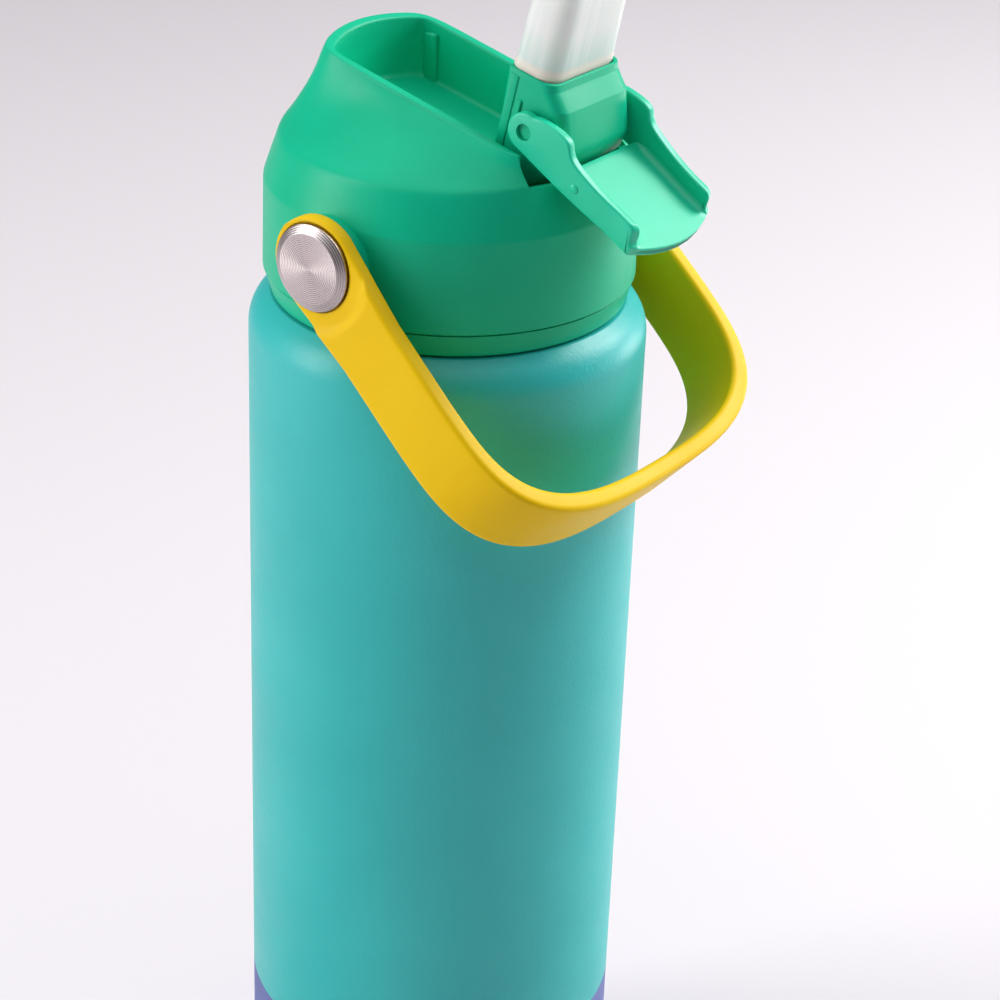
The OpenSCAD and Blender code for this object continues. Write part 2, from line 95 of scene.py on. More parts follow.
camera_turn = radians(-54.094)
camera_rise = radians(27.12)
camera_roll = radians(2.19)
back = Vector((sin(camera_turn) * cos(camera_rise), -cos(camera_turn) * cos(camera_rise), sin(camera_rise)))
level = Vector((cos(camera_turn), sin(camera_turn), 0))
upward = level.cross(-back)
right = cos(camera_roll) * level + sin(camera_roll) * upward
top = cos(camera_roll) * upward - sin(camera_roll) * level
camera_data = bpy.data.cameras.new("camera")
camera_data.lens = 97.03
camera_data.sensor_width = 36
camera_data.clip_start = 0.01
camera = bpy.data.objects.new("camera", camera_data)
camera_facing = Matrix((right, top, back)).transposed().to_4x4()
camera.matrix_world = Matrix.Translation((-0.3627, -0.2760, 0.3846)) @ camera_facing
scene.collection.objects.link(camera)
scene.camera = camera

# ---- Silicone boot ----------------------------------------------------------
# A soft silicone cup pushed over the steel base, flush with the body above it.
# It is moulded in one shot, with a rounded foot and a shallow ring pressed into its underside.

def eased(corners, closed=False, steps=5):
    """An outline whose corners, each given as (x, y, radius), are rounded."""
    outline = []
    count = len(corners)
    for i, (x, y, r) in enumerate(corners):
        here = Vector((x, y))
        if r == 0 or (not closed and i in (0, count - 1)):
            outline.append(here)
            continue
        before = Vector(corners[i - 1][:2]) - here
        after = Vector(corners[(i + 1) % count][:2]) - here
        half = before.angle(after) / 2
        reach = min(r / tan(half), before.length * 0.49, after.length * 0.49)
        first, last = here + before.normalized() * reach, here + after.normalized() * reach
        for k in range(steps + 1):
            t = k / steps
            outline.append(first * (1 - t) ** 2 + here * 2 * t * (1 - t) + last * t ** 2)
    return outline


def turn_on_lathe(bm, outline, steps, closed=True):
    """Spins an outline of (radius, height) once round the upright axis."""
    points = [bm.verts.new((p[0], 0, p[1])) for p in outline]
    pairs = list(zip(points, points[1:])) + ([(points[-1], points[0])] if closed else [])
    edges = [bm.edges.new(pair) for pair in pairs]
    bmesh.ops.spin(bm, geom=points + edges, cent=(0, 0, 0), axis=(0, 0, 1), angle=2 * pi, steps=steps,
                   use_merge=True, use_duplicate=False)


def finished(name, bm, body, slot, material, *nodes, sharp=32):
    """Makes a mesh drawn in millimetres into a piece in metres that rides on a body."""
    bmesh.ops.remove_doubles(bm, verts=bm.verts, dist=0.002)
    bmesh.ops.dissolve_degenerate(bm, edges=bm.edges, dist=0.001)
    bmesh.ops.recalc_face_normals(bm, faces=bm.faces)
    bmesh.ops.scale(bm, vec=(0.001, 0.001, 0.001), verts=bm.verts)
    mesh = bpy.data.meshes.new(name)
    bm.to_mesh(mesh)
    bm.free()
    mesh.shade_smooth()
    mesh.set_sharp_from_angle(angle=radians(sharp))
    mesh.materials.append(material)
    piece = bpy.data.objects.new(name, mesh)
    scene.collection.objects.link(piece)
    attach(piece, body)
    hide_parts(*nodes)
    return piece


def grained_surface():
    """Group for moulded and coated skins: colour that drifts, uneven gloss and a fine grain."""
    group = bpy.data.node_groups.new("grained_surface", "ShaderNodeTree")
    sockets = group.interface
    for name in ("Colour", "Drift Colour"):
        sockets.new_socket(name=name, in_out="INPUT", socket_type="NodeSocketColor")
    for name in ("Drift Scale", "Grain Scale", "Grain Depth", "Polish", "Dullness"):
        sockets.new_socket(name=name, in_out="INPUT", socket_type="NodeSocketFloat")
    sockets.new_socket(name="Colour", in_out="OUTPUT", socket_type="NodeSocketColor")
    sockets.new_socket(name="Roughness", in_out="OUTPUT", socket_type="NodeSocketFloat")
    sockets.new_socket(name="Normal", in_out="OUTPUT", socket_type="NodeSocketVector")
    nodes, links = group.nodes, group.links
    entry = nodes.new("NodeGroupInput")
    leave = nodes.new("NodeGroupOutput")
    place = nodes.new("ShaderNodeTexCoord")

    drift = nodes.new("ShaderNodeTexNoise")
    drift.inputs["Detail"].default_value = 3
    links.new(place.outputs["Object"], drift.inputs["Vector"])
    links.new(entry.outputs["Drift Scale"], drift.inputs["Scale"])
    share = nodes.new("ShaderNodeMapRange")
    share.inputs["From Min"].default_value = 0.35
    share.inputs["From Max"].default_value = 0.65
    links.new(drift.outputs["Fac"], share.inputs["Value"])
    mixed = nodes.new("ShaderNodeMix")
    mixed.data_type = "RGBA"
    links.new(share.outputs["Result"], mixed.inputs["Factor"])
    links.new(entry.outputs["Colour"], mixed.inputs["A"])
    links.new(entry.outputs["Drift Colour"], mixed.inputs["B"])
    links.new(mixed.outputs["Result"], leave.inputs["Colour"])

    grain = nodes.new("ShaderNodeTexNoise")
    grain.inputs["Detail"].default_value = 4
    grain.inputs["Roughness"].default_value = 0.55
    links.new(place.outputs["Object"], grain.inputs["Vector"])
    links.new(entry.outputs["Grain Scale"], grain.inputs["Scale"])
    relief = nodes.new("ShaderNodeBump")
    relief.inputs["Distance"].default_value = 0.00005
    links.new(entry.outputs["Grain Depth"], relief.inputs["Strength"])
    links.new(grain.outputs["Fac"], relief.inputs["Height"])
    links.new(relief.outputs["Normal"], leave.inputs["Normal"])

    handled = nodes.new("ShaderNodeTexNoise")
    handled.inputs["Scale"].default_value = 95
    handled.inputs["Detail"].default_value = 5
    links.new(place.outputs["Object"], handled.inputs["Vector"])
    both = nodes.new("ShaderNodeMix")
    both.inputs["Factor"].default_value = 0.4
    links.new(handled.outputs["Fac"], both.inputs["A"])
    links.new(grain.outputs["Fac"], both.inputs["B"])
    gloss = nodes.new("ShaderNodeMapRange")
    gloss.inputs["From Min"].default_value = 0.35
    gloss.inputs["From Max"].default_value = 0.65
    links.new(both.outputs["Result"], gloss.inputs["Value"])
    links.new(entry.outputs["Polish"], gloss.inputs["To Min"])
    links.new(entry.outputs["Dullness"], gloss.inputs["To Max"])
    links.new(gloss.outputs["Result"], leave.inputs["Roughness"])
    return group


grained = grained_surface()


def grained_material(name, colour, drift_colour, drift_scale, grain_scale, grain_depth, polish, dullness):
    """A material whose colour, gloss and grain come from the grained surface group."""
    material = bpy.data.materials.new(name)
    material.use_nodes = True
    tree = material.node_tree
    shader = tree.nodes["Principled BSDF"]
    skin = tree.nodes.new("ShaderNodeGroup")
    skin.node_tree = grained
    skin.inputs["Colour"].default_value = colour
    skin.inputs["Drift Colour"].default_value = drift_colour
    skin.inputs["Drift Scale"].default_value = drift_scale
    skin.inputs["Grain Scale"].default_value = grain_scale
    skin.inputs["Grain Depth"].default_value = grain_depth
    skin.inputs["Polish"].default_value = polish
    skin.inputs["Dullness"].default_value = dullness
    tree.links.new(skin.outputs["Colour"], shader.inputs["Base Color"])
    tree.links.new(skin.outputs["Roughness"], shader.inputs["Roughness"])
    tree.links.new(skin.outputs["Normal"], shader.inputs["Normal"])
    return material


def set_shader(material, socket, value):
    """Sets one plain number on a material's own shader."""
    material.node_tree.nodes["Principled BSDF"].inputs[socket].default_value = value


boot_silicone = grained_material("boot_silicone", paint(104, 112, 170), paint(98, 106, 163), 60, 2600, 0.35,
                                 0.52, 0.66)
set_shader(boot_silicone, "Specular IOR Level", 0.4)

boot_bm = bmesh.new()
turn_on_lathe(boot_bm, eased([
    (0, 0.6, 0), (12.6, 0.6, 0.3), (13.1, 0, 0.3), (26.9, 0, 0.3), (27.4, 0.6, 0.3), (27.9, 0, 0.3),
    (36.5, 0, 3.2), (36.5, 46, 0.35), (34.9, 46, 0.2), (34.9, 2.6, 4), (30.5, 2.6, 0), (30.5, 1.6, 0),
    (0, 1.6, 0)]), 192, closed=False)
finished("silicone_boot", boot_bm, "bottle", "boot_silicone", boot_silicone, "base_boot")

# ---- Steel flask and base plate ---------------------------------------------
# The drinking flask and the base plate are spun from stainless sheet, and a small getter capsule
# keeps the vacuum between the walls. The metal is bare, with the fine rings that spinning leaves.

def dress(material, *nodes):
    """Gives a finish to pieces whose shape already comes from the frame."""
    for name in nodes:
        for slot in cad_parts[name].material_slots:
            slot.material = material


def turned_metal():
    """Group for spun metal: fine rings that change its shade, gloss and relief."""
    group = bpy.data.node_groups.new("turned_metal", "ShaderNodeTree")
    sockets = group.interface
    sockets.new_socket(name="Rings", in_out="INPUT", socket_type="NodeSocketFloat")
    for name in ("Groove Colour", "Crest Colour"):
        sockets.new_socket(name=name, in_out="INPUT", socket_type="NodeSocketColor")
    for name in ("Polish", "Dullness", "Groove Depth"):
        sockets.new_socket(name=name, in_out="INPUT", socket_type="NodeSocketFloat")
    sockets.new_socket(name="Colour", in_out="OUTPUT", socket_type="NodeSocketColor")
    sockets.new_socket(name="Roughness", in_out="OUTPUT", socket_type="NodeSocketFloat")
    sockets.new_socket(name="Normal", in_out="OUTPUT", socket_type="NodeSocketVector")
    nodes, links = group.nodes, group.links
    entry = nodes.new("NodeGroupInput")
    leave = nodes.new("NodeGroupOutput")
    shade = nodes.new("ShaderNodeMix")
    shade.data_type = "RGBA"
    links.new(entry.outputs["Rings"], shade.inputs["Factor"])
    links.new(entry.outputs["Groove Colour"], shade.inputs["A"])
    links.new(entry.outputs["Crest Colour"], shade.inputs["B"])
    links.new(shade.outputs["Result"], leave.inputs["Colour"])
    gloss = nodes.new("ShaderNodeMapRange")
    links.new(entry.outputs["Rings"], gloss.inputs["Value"])
    links.new(entry.outputs["Polish"], gloss.inputs["To Min"])
    links.new(entry.outputs["Dullness"], gloss.inputs["To Max"])
    links.new(gloss.outputs["Result"], leave.inputs["Roughness"])
    relief = nodes.new("ShaderNodeBump")
    relief.inputs["Distance"].default_value = 0.00002
    links.new(entry.outputs["Groove Depth"], relief.inputs["Strength"])
    links.new(entry.outputs["Rings"], relief.inputs["Height"])
    links.new(relief.outputs["Normal"], leave.inputs["Normal"])
    return group


turned = turned_metal()


def turned_material(name, groove_colour, crest_colour, polish, dullness, groove_depth):
    """Bare metal with the turned metal group; gives back its wave, which still needs a direction."""
    material = bpy.data.materials.new(name)
    material.use_nodes = True
    tree = material.node_tree
    shader = tree.nodes["Principled BSDF"]
    shader.inputs["Metallic"].default_value = 1
    skin = tree.nodes.new("ShaderNodeGroup")
    skin.node_tree = turned
    skin.inputs["Groove Colour"].default_value = groove_colour
    skin.inputs["Crest Colour"].default_value = crest_colour
    skin.inputs["Polish"].default_value = polish
    skin.inputs["Dullness"].default_value = dullness
    skin.inputs["Groove Depth"].default_value = groove_depth
    tree.links.new(skin.outputs["Colour"], shader.inputs["Base Color"])
    tree.links.new(skin.outputs["Roughness"], shader.inputs["Roughness"])
    tree.links.new(skin.outputs["Normal"], shader.inputs["Normal"])
    wave = tree.nodes.new("ShaderNodeTexWave")
    wave.inputs["Scale"].default_value = 900
    tree.links.new(wave.outputs["Fac"], skin.inputs["Rings"])
    return material, wave


flask_steel, flask_rings = turned_material("flask_steel", paint(176, 174, 172), paint(196, 194, 191),
                                           0.24, 0.36, 0.2)
flask_rings.wave_type = "BANDS"
flask_rings.bands_direction = "Z"
flask_rings.inputs["Distortion"].default_value = 1.5
flask_place = flask_steel.node_tree.nodes.new("ShaderNodeTexCoord")
flask_steel.node_tree.links.new(flask_place.outputs["Object"], flask_rings.inputs["Vector"])
dress(flask_steel, "inner_flask", "bottom_plate", "vacuum_getter")

# ---- Powder-coated body -----------------------------------------------------
# The outer steel shell, drawn in at the shoulder and thinned to a neck, with a thread round the neck.
# It is sprayed with a satin powder coat that dries to a fine orange peel.

body_coat = grained_material("body_coat", paint(44, 185, 182), paint(39, 178, 176), 30, 1500, 1.0,
                             0.36, 0.46)
set_shader(body_coat, "Specular IOR Level", 0.45)

body_bm = bmesh.new()
body_r = 36.5
coat_wall = 0.8
shoulder_r = 7.5
bend_at = body_r - shoulder_r
shoulder_turn = radians(50)
neck_r = 32.6
neck_z = 194.6
shoulder_drop = (bend_at + shoulder_r * cos(shoulder_turn) - neck_r) * tan(radians(40))
shoulder_z = neck_z - shoulder_drop - shoulder_r * sin(shoulder_turn)


def shoulder_arc(r):
    """The bend at the shoulder, from the upright wall up to the cone."""
    turns = [shoulder_turn * k / 20 for k in range(21)]
    return [(bend_at + r * cos(a), shoulder_z + r * sin(a)) for a in turns]


shoulder = shoulder_arc(shoulder_r)
inside = shoulder_arc(shoulder_r - coat_wall)
body_outline = [tuple(p) for p in eased([
    (30.5, 2.6, 0), (34.9, 2.6, 4), (34.9, 45.95, 0), (body_r, 45.95, 0.3), (body_r, 60, 0)])]
body_outline += [(body_r, 60 + 120 * k / 24) for k in range(1, 25)] + shoulder
body_outline += [tuple(p) for p in eased([
    shoulder[-1] + (0,), (neck_r, neck_z, 0.5), (28.6, neck_z, 0.4), (28.6, 213.2, 0.2), (27.8, 213.2, 0),
    (27.8, 193.8, 0), (32.1, 193.8, 0), inside[-1] + (0,)])][1:]
body_outline += inside[-2::-1] + [(35.7, 48.5), (34.1, 46), (34.1, 6.6), (30.5, 3.4)]
turn_on_lathe(body_bm, body_outline, 256)
finished("body_shell", body_bm, "bottle", "body_coat", body_coat, "outer_shell")
dress(body_coat, "neck_thread")

# ---- Gasket, threaded liner and collar --------------------------------------
# The liner is a second moulding inside the lid: its collar shows as a narrow ring above the shoulder,
# its thread takes the neck, and its deck presses a clear gasket on the mouth.

lid_plastic = grained_material("lid_plastic", paint(0, 186, 142), paint(0, 178, 134), 45, 2200, 0.4,
                               0.34, 0.46)
set_shader(lid_plastic, "Specular IOR Level", 0.22)

collar_bm = bmesh.new()
turn_on_lathe(collar_bm, eased([
    (0, 215.6, 0), (30.2, 215.6, 0.3), (30.2, 195, 0.2), (32.1, 195, 0.25), (32.4, 195.3, 0.3),
    (33.5, 199.25, 0.15), (31.25, 199.25, 0.1), (31.25, 217.6, 0.3), (0, 217.6, 0)]), 224, closed=False)
finished("lid_collar", collar_bm, "lid", "lid_plastic", lid_plastic, "lid_liner")
dress(lid_plastic, "liner_thread")

clear_silicone = grained_material("clear_silicone", paint(224, 226, 220), paint(214, 218, 212), 80, 1800,
                                  0.25, 0.3, 0.42)
set_shader(clear_silicone, "Transmission Weight", 0.3)
set_shader(clear_silicone, "IOR", 1.41)
dress(clear_silicone, "lid_gasket")

# ---- Lid shell --------------------------------------------------------------
# One thick moulding in matt mint plastic: a round wall, a dome drawn to a sloped rim, and a deep
# pocket that the folded spout lies in. The front is cut away so that the spout can stand up.

hem_z = 199.5
crease_r = 33.65
crease_z = 216.3
band_z = 224.6
band_r = 30.9
lip_z = 224.5
rim_rise = 10.38
rim_edge = 0.45
floor_bend = 0.9
rim_centre = -3.2
rim_slope = tan(radians(12.8))
pocket_half = 13.05
pivot_z = 210
lying = Matrix.Rotation(pi / 2, 4, "Y")


def corners_in(items):
    """The corners among the mixed items that an operator gives back."""
    return [item for item in items if isinstance(item, bmesh.types.BMVert)]


def raise_rings(bm, rings, cap_last=True):
    """Draws a skin up through rings of points, one edge loop at a time."""
    bmesh.ops.create_circle(bm, segments=len(rings[0]), radius=1)
    loop = sorted(bm.verts[-len(rings[0]):], key=lambda v: atan2(v.co.y, v.co.x))
    for vert, point in zip(loop, rings[0]):
        vert.co = point
    edges = [bm.edges.get((a, b)) for a, b in zip(loop, loop[1:] + loop[:1])]
    bmesh.ops.contextual_create(bm, geom=edges)
    for ring in rings[1:]:
        drawn = bmesh.ops.extrude_edge_only(bm, edges=edges)["geom"]
        fresh = set(corners_in(drawn))
        loop = [next(e.other_vert(v) for e in v.link_edges if e.other_vert(v) in fresh) for v in loop]
        for vert, point in zip(loop, ring):
            vert.co = point
        edges = [bm.edges.get((a, b)) for a, b in zip(loop, loop[1:] + loop[:1])]
    if cap_last:
        bmesh.ops.contextual_create(bm, geom=edges)


def flowing(points, steps):
    """A smooth line through the given points."""
    line = []
    for i in range(len(points) - 1):
        p0, p1 = points[max(i - 1, 0)], points[i]
        p2, p3 = points[i + 1], points[min(i + 2, len(points) - 1)]
        for k in range(steps):
            t = k / steps
            line.append(tuple(0.5 * (2 * b + (c - a) * t + (2 * a - 5 * b + 4 * c - d) * t * t
                                     + (3 * b - a - 3 * c + d) * t ** 3)
                              for a, b, c, d in zip(p0, p1, p2, p3)))
    return line + [tuple(points[-1])]


def rim_height(y):
    """The pocket's rim climbs towards the back."""
    return band_z + rim_rise + y * rim_slope


def lip_height(y):
    """The notch's lip is level from end to end."""
    return lip_z


def floor_height(y):
    """The pocket's floor, level under the spout and climbing behind it."""
    return 219.6 + max(y + 19, 0) * rim_slope


def squared_reach(turn, half, longest, power):
    """How far a slot with rounded corners reaches from its middle; more power squares the corners."""
    return ((abs(cos(turn)) / half) ** power + (1 / longest) ** power) ** (-1 / power)


# each column holds the wall's direction, the rim's outer and inner points, and the lip's height rule
columns = []
for i in range(257):
    along = i / 256
    wall_turn = radians(-62.4 + 304.8 * along)
    rim_turn = radians(-57 + 294 * along)
    reach = squared_reach(rim_turn, 15.05, 25.9, 14)
    outer = Vector((reach * cos(rim_turn), rim_centre + reach * sin(rim_turn)))
    reach = squared_reach(rim_turn, pocket_half, 23.9, 30)
    inner = Vector((reach * cos(rim_turn), rim_centre + reach * sin(rim_turn)))
    if sin(rim_turn) < 0:
        inner = Vector((pocket_half if cos(rim_turn) > 0 else -pocket_half, outer.y))
    columns.append((Vector((cos(wall_turn), sin(wall_turn))), outer, inner, rim_height))
front_r = 30
front_turn = asin(pocket_half / front_r)
side_run = front_r * cos(front_turn) + columns[0][2].y
whole_run = 2 * side_run + 2 * front_turn * front_r
for i in range(65):
    along = i / 64
    wall_turn = radians(-117.6 + 55.2 * along)
    run = along * whole_run
    if run < side_run or run > whole_run - side_run:
        side = -1 if run < side_run else 1
        inner = Vector((side * pocket_half, columns[0][2].y - min(run, whole_run - run)))
        outer = inner + Vector((side * (columns[0][1].x - pocket_half), 0))
    else:
        turn = -pi / 2 - front_turn + (run - side_run) / front_r
        inner = Vector((front_r * cos(turn), front_r * sin(turn)))
        outer = inner * ((front_r + 0.35) / front_r)
    columns.append((Vector((cos(wall_turn), sin(wall_turn))), outer, inner, lip_height))

# upright wall, soft crease, then the band that leans in
wall_line = [tuple(p) for p in eased([
    (31.3, 217.65, 0), (31.3, hem_z, 0.2), (33.85, hem_z, 0.4), (crease_r, crease_z, 3.0),
    (band_r, band_z, 0)])]
near_band = [(crease_r + (band_r - crease_r) * t, crease_z + (band_z - crease_z) * t)
             for t in (0.5, 0.65, 0.78, 0.86, 0.93)]
wall_line[-1:] = near_band + [(band_r, band_z)]
lid_rings = []
for r, z in wall_line:
    ring = []
    for way, _, _, rule in columns:
        if rule is lip_height and z > lip_z:
            r_here, z_here = band_r + 0.03, lip_z
        else:
            r_here, z_here = r, z
        ring.append((way.x * r_here, way.y * r_here, z_here))
    lid_rings.append(ring)
crease_ring = len(lid_rings) - 1
dome = [(0.025, 0.02), (0.06, 0.045), (0.10, 0.072)] + flowing(
    [(0.16, 0.115), (0.31, 0.235), (0.56, 0.46), (0.77, 0.69), (0.93, 0.92), (1, 1)], 4)
for across, up in dome:
    ring = []
    for way, outer, inner, rule in columns:
        spot = way * band_r * (1 - across) + outer * across
        height = band_z + (rim_height(outer.y) - rim_edge - band_z) * up if rule is rim_height else lip_z
        ring.append((spot.x, spot.y, height))
    lid_rings.append(ring)
for _ in range(4):
    # the crease over the band is soft, so its rings are eased into each other
    before = [list(ring) for ring in lid_rings]
    for k in range(crease_ring - 3, crease_ring + 4):
        lid_rings[k] = [tuple((Vector(low) + 2 * Vector(here) + Vector(high)) / 4)
                        for low, here, high in zip(before[k - 1], before[k], before[k + 1])]
for stage, side in ((1, 0), (2, 0), (3, 0), (3, 1), (2, 1), (1, 1), (0, 1)):
    ring = []
    for way, outer, inner, rule in columns:
        width = (inner - outer).length
        edge = min(rim_edge, width * 0.4)
        bend = stage * pi / 6
        inset = edge * (1 - cos(bend))
        spot = outer.lerp(inner, (width - inset if side else inset) / width)
        ring.append((spot.x, spot.y, rule(spot.y) - edge * (1 - sin(bend))))
    lid_rings.append(ring)
for share in (0.3, 0.65, 1):
    ring = []
    for way, outer, inner, rule in columns:
        high = rule(inner.y) - rim_edge
        low = floor_height(inner.y) + floor_bend
        ring.append((inner.x, inner.y, high * (1 - share) + low * share))
    lid_rings.append(ring)
for bend in (pi / 6, pi / 3, pi / 2):
    inset = floor_bend * (1 - cos(bend))
    ring = []
    for way, outer, inner, rule in columns:
        x = inner.x * (1 - inset / pocket_half)
        y = rim_centre + (inner.y - rim_centre) * (1 - inset / 24)
        ring.append((x, y, floor_height(y) + floor_bend * (1 - sin(bend))))
    lid_rings.append(ring)
pocket_edge = lid_rings[-1]
for share in (0.75, 0.5, 0.25, 0):
    lid_rings.append([(x * share, y, z) for x, y, z in pocket_edge])


def edges_of(verts):
    """Every edge that meets the given corners."""
    return list(dict.fromkeys(edge for vert in verts for edge in vert.link_edges))


def end_rims(edges):
    """Those of the edges that lie square to the X axis."""
    return [e for e in edges if abs(e.verts[0].co.x - e.verts[1].co.x) < 0.01]


def round_off(bm, edges, offset, segments):
    """Rounds edges over."""
    bmesh.ops.bevel(bm, geom=edges, offset=offset, offset_type="OFFSET", affect="EDGES", segments=segments,
                    profile=0.5, material=-1)


lid_bm = bmesh.new()
raise_rings(lid_bm, lid_rings, cap_last=False)
bmesh.ops.remove_doubles(lid_bm, verts=lid_bm.verts, dist=0.002)

for side in (-1, 1):
    # short rib on the pocket's wall, then the boss that the handle turns on
    rib = bmesh.ops.create_cube(lid_bm, size=1)["verts"]
    bmesh.ops.scale(lid_bm, vec=(1.5, 3.0, 10.8), verts=rib)
    bmesh.ops.translate(lid_bm, vec=(side * 13.05, 15.3, 230.9), verts=rib)
    round_off(lid_bm, edges_of(rib), 0.5, 4)
    boss_place = Matrix.Translation((side * 33.3, 0, pivot_z)) @ lying
    boss = bmesh.ops.create_cone(lid_bm, cap_ends=True, segments=72, radius1=8, radius2=8, depth=3.2,
                                 matrix=boss_place)["verts"]
    round_off(lid_bm, end_rims(edges_of(boss)), 0.3, 3)
finished("lid_dome", lid_bm, "lid", "lid_plastic", lid_plastic, "lid_shell", sharp=38)

# ---- Straw, port and seals --------------------------------------------------
# A clear straw hangs from a nipple through the deck, beside a small vent valve.
# A soft grey collar, hollowed to the spout's knuckle, seals the port above it.

dress(clear_silicone, "straw_socket", "straw", "vent_valve")
seal_rubber = grained_material("seal_rubber", paint(120, 124, 126), paint(108, 112, 115), 120, 2400, 0.4,
                               0.5, 0.66)
dress(seal_rubber, "spout_seal")

# ---- Spout pins and carrier -------------------------------------------------
# The carrier is a solid mint block on a round knuckle, held by two steel pins in the pocket's walls.
# Its front leans back and ends in a bright chamfer, and its top holds the mouthpiece.

pin_steel = grained_material("pin_steel", paint(186, 184, 182), paint(170, 168, 167), 300, 3000, 0.15,
                             0.2, 0.34)
set_shader(pin_steel, "Metallic", 1)
dress(pin_steel, "spout_pin_left", "spout_pin_right")

# drawn in (across, forward, up the spout), with the origin on the pins
spout_axes = Matrix.Translation((0, -19, 224)) @ Matrix.Rotation(radians(12.8), 4, "X")


def soft_box_ring(half, low, high, r_low, r_high, steps=6, crown=0.0):
    """Rounded rectangle from low to high, half wide to each side, its high side crowned outwards."""
    ring = []
    for sx, edge, r, start in ((1, high, r_high, 0), (-1, high, r_high, 90), (-1, low, r_low, 180),
                               (1, low, r_low, 270)):
        cx = sx * (half - r)
        cy = edge - r if edge is high else edge + r
        for k in range(steps + 1):
            a = radians(start + 90 * k / steps)
            ring.append([cx + r * cos(a), cy + r * sin(a)])
        if start == 0:
            last, first = ring[-1][0], -(half - r)
            ring += [[last + (first - last) * k / 8, high] for k in range(1, 8)]
    for point in ring:
        point[1] += crown * (1 - (point[0] / half) ** 2) * max(0, (point[1] - low) / (high - low))
    return ring


def spout_ring(u, half, low, high, r_low, r_high, crown=0.0):
    """A rounded rectangle laid across the spout at height u."""
    return [(x, -y, u) for x, y in soft_box_ring(half, low, high, r_low, r_high, crown=crown)]


carrier_bm = bmesh.new()
front_line = eased([(3.4, -2.2, 0), (7.6, 1.4, 2.5), (10.0, 5.2, 3), (10.7, 8.4, 3), (8.4, 15.07, 0.35),
                    (5.75, 17.75, 0.5), (5.4, 18.75, 0)])
carrier_half = 10.4
carrier_rings = []
for n, u in front_line:
    back_n = -3.3 - 0.8 * max(0, (u - 8.4) / 10.6)
    crown = 0.6 * max(0, min(1, (14.5 - u) / 7))
    corner = 2.6 if u < 12 else 2.6 - 0.3 * (u - 12) / 7
    carrier_rings.append(spout_ring(u, carrier_half, back_n, n, 0.8, corner, crown))
for inset, u in ((0.08, 18.92), (0.25, 19)):
    carrier_rings.append(spout_ring(u, carrier_half - inset, -4.1 + inset, 5.4 - inset, 0.8, 2.3))
for grow, u in ((0.2, 19), (0.12, 18.9), (0.12, 17.4)):
    carrier_rings.append(spout_ring(u, 9.7 + grow, -3.8 - grow, 4.7 + grow, 2.4, 2.4))
raise_rings(carrier_bm, carrier_rings)
knuckle = bmesh.ops.create_cone(carrier_bm, cap_ends=True, segments=72, radius1=4.2, radius2=4.2,
                                depth=25.4, matrix=lying)["verts"]
round_off(carrier_bm, end_rims(edges_of(knuckle)), 0.35, 3)
for side in (-1, 1):
    # flat band down the rear corner, and the short upright bead beside it
    for size, spot in (((0.5, 1.7, 15.6), (10.38, 2.25, 10.2)), ((0.8, 0.9, 6.4), (10.4, 0.1, 11.0))):
        bead = bmesh.ops.create_cube(carrier_bm, size=1)["verts"]
        bmesh.ops.scale(carrier_bm, vec=size, verts=bead)
        bmesh.ops.translate(carrier_bm, vec=(side * spot[0], spot[1], spot[2]), verts=bead)
        round_off(carrier_bm, edges_of(bead), min(size) * 0.4, 3)
bmesh.ops.transform(carrier_bm, matrix=spout_axes, verts=carrier_bm.verts)
finished("spout_block", carrier_bm, "spout", "lid_plastic", lid_plastic, "spout_carrier")

# ---- Mouthpiece -------------------------------------------------------------
# A soft drinking tip of milky silicone, seated in the carrier's socket with a thicker cream foot.
# It tapers a little, its tip is rounded, and a slit in the tip lets the water through.

tip_silicone = bpy.data.materials.new("tip_silicone")
tip_silicone.use_nodes = True
tip_tree = tip_silicone.node_tree
tip_shader = tip_tree.nodes["Principled BSDF"]
tip_shader.inputs["Transmission Weight"].default_value = 0.2
tip_shader.inputs["IOR"].default_value = 1.41
tip_shader.inputs["Subsurface Weight"].default_value = 0.5
tip_shader.inputs["Subsurface Radius"].default_value = (0.006, 0.007, 0.006)
tip_shader.inputs["Subsurface Scale"].default_value = 1
tip_place = tip_tree.nodes.new("ShaderNodeTexCoord")
tip_turn = tip_tree.nodes.new("ShaderNodeMapping")
tip_turn.vector_type = "TEXTURE"
tip_turn.inputs["Location"].default_value = (0, -0.019, 0.224)
tip_turn.inputs["Rotation"].default_value = (radians(12.8), 0, 0)
tip_tree.links.new(tip_place.outputs["Object"], tip_turn.inputs["Vector"])
tip_stretch = tip_tree.nodes.new("ShaderNodeMapping")
tip_stretch.inputs["Scale"].default_value = (900, 900, 45)
tip_tree.links.new(tip_turn.outputs["Vector"], tip_stretch.inputs["Vector"])
tip_streaks = tip_tree.nodes.new("ShaderNodeTexNoise")
tip_streaks.inputs["Scale"].default_value = 1
tip_streaks.inputs["Detail"].default_value = 3
tip_tree.links.new(tip_stretch.outputs["Vector"], tip_streaks.inputs["Vector"])
# Milky streaks mixed with painted shade: the colour turns darker blue-green towards the foot, standing in
# for the shade inside the hollow tip.
tip_milk_and_shade = tip_tree.nodes.new("ShaderNodeMix")
tip_milk_and_shade.data_type = "RGBA"
tip_milk_and_shade.inputs["A"].default_value = paint(205, 230, 224)
tip_milk_and_shade.inputs["B"].default_value = paint(253, 253, 250)
tip_split = tip_tree.nodes.new("ShaderNodeSeparateXYZ")
tip_tree.links.new(tip_turn.outputs["Vector"], tip_split.inputs["Vector"])
